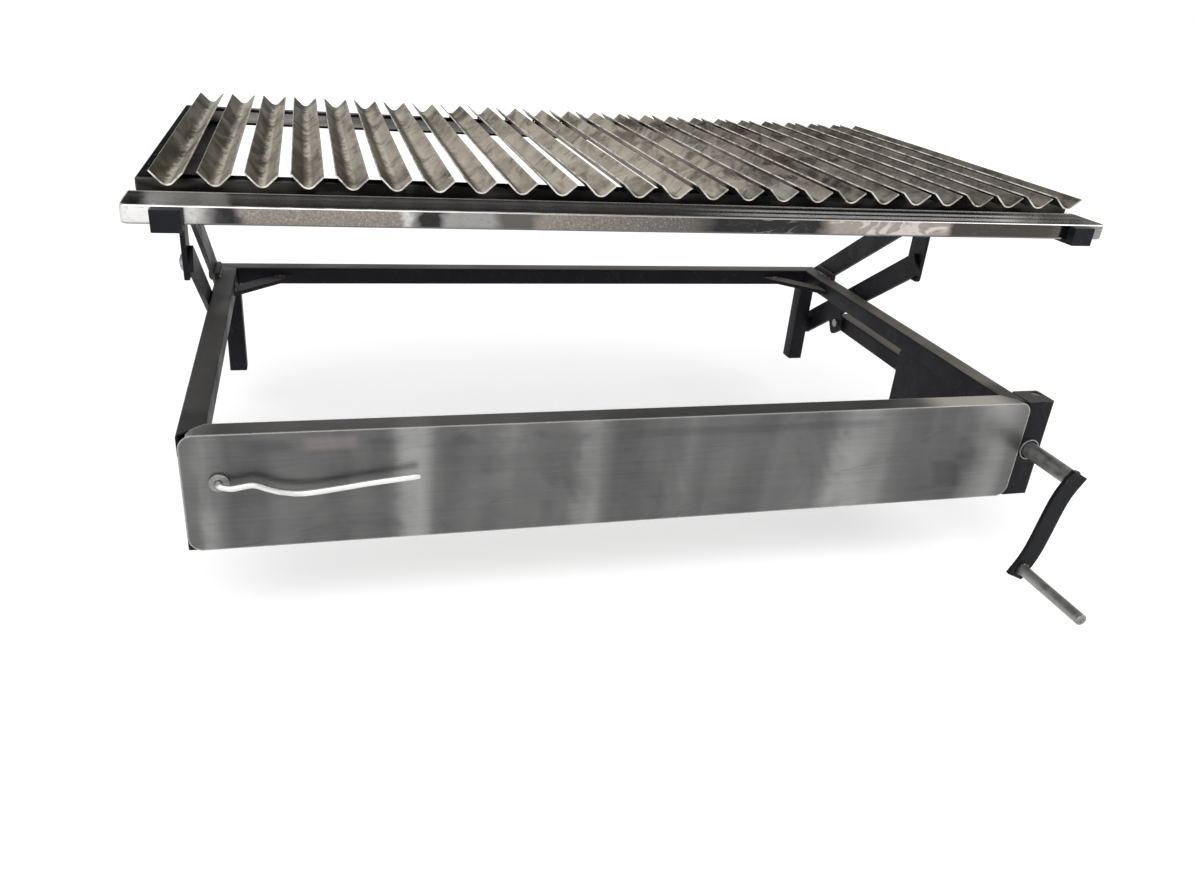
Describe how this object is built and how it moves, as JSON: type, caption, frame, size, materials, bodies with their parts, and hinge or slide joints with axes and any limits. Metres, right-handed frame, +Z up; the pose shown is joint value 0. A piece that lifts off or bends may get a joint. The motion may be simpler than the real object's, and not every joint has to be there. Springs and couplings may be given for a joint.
{
  "type": "argentine grill",
  "caption": "Built-in argentine grill: a crank raises and lowers a grate of V-shaped bars with a fat trough on parallel links above a low steel frame.",
  "frame": {"origin": "middle of the front panel's underside, in the plane where the panel's sheet meets the frame", "axes": "+X right along the panel, +Y to the back, +Z up"},
  "size_m": [1.0612, 0.8077, 0.4585],
  "materials": {
    "black_steel": "satin black heat-resistant coating over rolled steel",
    "panel_steel": "dark brushed stainless sheet with soft vertical bands",
    "grate_steel": "brushed stainless, mottled grey with bright cut edges",
    "bright_steel": "polished stainless, near mirror",
    "shaft_steel": "bare turned steel, darkened"
  },
  "bodies": {
    "base": {"front_panel": "panel_steel", "right_side_tube": "black_steel", "left_side_tube": "black_steel", "rear_tube": "black_steel", "right_rear_leg": "black_steel", "left_rear_leg": "black_steel", "right_corner_brace": "black_steel", "left_corner_brace": "black_steel", "left_front_post": "black_steel", "right_front_post": "black_steel", "post_plug": "shaft_steel", "guard_plate": "black_steel", "crank_ring": "shaft_steel", "lever_escutcheon": "bright_steel"},
    "upper_links": {"right_upper_link": "black_steel", "left_upper_link": "black_steel"},
    "lower_links": {"right_lower_link": "black_steel", "left_lower_link": "black_steel", "lug_bolt": "shaft_steel"},
    "carriage": {"right_arm": "black_steel", "left_arm": "black_steel", "right_hanger": "black_steel", "left_hanger": "black_steel", "right_grid_tube": "grate_steel", "left_grid_tube": "grate_steel", "front_grid_tube": "grate_steel", "rear_grid_tube": "grate_steel", "grease_trough": "bright_steel", "v_bar_01": "grate_steel", "v_bar_02": "grate_steel", "v_bar_03": "grate_steel", "v_bar_04": "grate_steel", "v_bar_05": "grate_steel", "v_bar_06": "grate_steel", "v_bar_07": "grate_steel", "v_bar_08": "grate_steel", "v_bar_09": "grate_steel", "v_bar_10": "grate_steel", "v_bar_11": "grate_steel", "v_bar_12": "grate_steel", "v_bar_13": "grate_steel", "v_bar_14": "grate_steel", "v_bar_15": "grate_steel", "v_bar_16": "grate_steel", "v_bar_17": "grate_steel", "v_bar_18": "grate_steel", "v_bar_19": "grate_steel", "v_bar_20": "grate_steel", "v_bar_21": "grate_steel", "v_bar_22": "grate_steel", "v_bar_23": "grate_steel", "v_bar_24": "grate_steel", "v_bar_25": "grate_steel"},
    "drive": {"drive_tube": "black_steel", "spindle_nut": "shaft_steel"},
    "crank_carrier": {"shaft_carrier": "shaft_steel"},
    "crank": {"crank_shaft": "shaft_steel", "crank_arm": "black_steel", "crank_grip": "shaft_steel"},
    "lever": {"front_lever": "bright_steel"}
  },
  "joints": [
    {"name": "lift", "type": "hinge", "parent": "base", "child": "upper_links", "pos_m": [0, 0.587, 0.1205], "axis": [-1, 0, 0], "range_deg": [-13, 22]},
    {"name": "lower_link_turn", "type": "hinge", "parent": "base", "child": "lower_links", "pos_m": [0, 0.587, 0.036], "axis": [-1, 0, 0], "range_deg": [-13.01, 22]},
    {"name": "carriage_level", "type": "hinge", "parent": "upper_links", "child": "carriage", "pos_m": [0, 0.31801, 0.30057], "axis": [-1, 0, 0], "range_deg": [-22, 13.01]},
    {"name": "drive_tube_turn", "type": "hinge", "parent": "lower_links", "child": "drive", "pos_m": [0.52, 0.48902, 0.06706], "axis": [-1, 0, 0], "range_deg": [-26.3, 15.54]},
    {"name": "carrier_tilt", "type": "hinge", "parent": "base", "child": "crank_carrier", "pos_m": [0.52, 0.01815, 0.06706], "axis": [1, 0, 0], "range_deg": [-2.54, 4.29]},
    {"name": "crank_turn", "type": "hinge", "parent": "crank_carrier", "child": "crank", "pos_m": [0.52, 0.01815, 0.06706], "axis": [0, -1, 0], "range_deg": [-624, 1056.01]},
    {"name": "lever_turn", "type": "hinge", "parent": "base", "child": "lever", "pos_m": [-0.4633, 0, 0.0803], "axis": [0, -1, 0], "range_deg": [0, 60]}
  ],
  "couplings": [
    {"joint": "lower_link_turn", "follows": "lift", "ratio": 1},
    {"joint": "carriage_level", "follows": "lift", "ratio": -1},
    {"joint": "drive_tube_turn", "follows": "lift", "ratio": -1.195},
    {"joint": "carrier_tilt", "follows": "lift", "ratio": 0.195},
    {"joint": "crank_turn", "follows": "lift", "ratio": 48}
  ]
}
